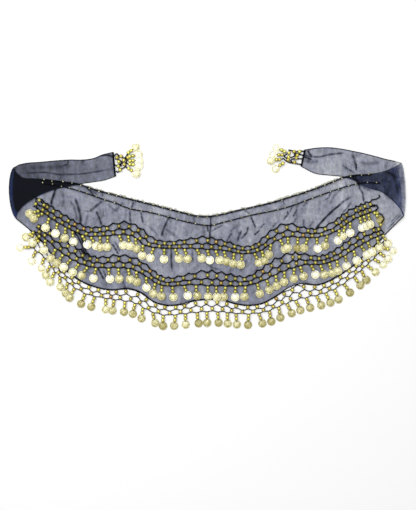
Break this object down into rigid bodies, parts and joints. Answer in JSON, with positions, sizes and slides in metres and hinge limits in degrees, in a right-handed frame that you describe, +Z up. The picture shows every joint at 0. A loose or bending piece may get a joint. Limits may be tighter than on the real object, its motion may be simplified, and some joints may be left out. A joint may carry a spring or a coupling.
{
  "type": "belly dance hip scarf",
  "caption": "Sheer hip scarf laid flat, a scalloped panel with tie ends folded behind it, beaded chains and crocheted nets with rows of coin drops.",
  "frame": {"origin": "middle of the laid scarf's footprint, on the floor it lies on", "axes": "+X along the scarf from its left end to its right end as worn edge up, +Y towards the waist edge and the ties, +Z up from the floor"},
  "size_m": [0.8746, 0.4109, 0.0065],
  "materials": {
    "panel": "sheer matt",
    "tie_left": "sheer matt",
    "tie_right": "sheer matt",
    "band_hem": "crocheted cord",
    "band_middle": "crocheted cord",
    "band_upper": "crocheted cord",
    "fringe_left": "crocheted cord",
    "fringe_right": "crocheted cord",
    "waist_chain": "small beads",
    "second_chain": "small beads"
  },
  "bodies": {
    "root": {"panel": "panel", "tie_left": "tie_left", "tie_right": "tie_right", "band_hem": "band_hem", "band_middle": "band_middle", "band_upper": "band_upper", "fringe_left": "fringe_left", "fringe_right": "fringe_right", "waist_chain": "waist_chain", "second_chain": "second_chain"}
  },
  "joints": []
}
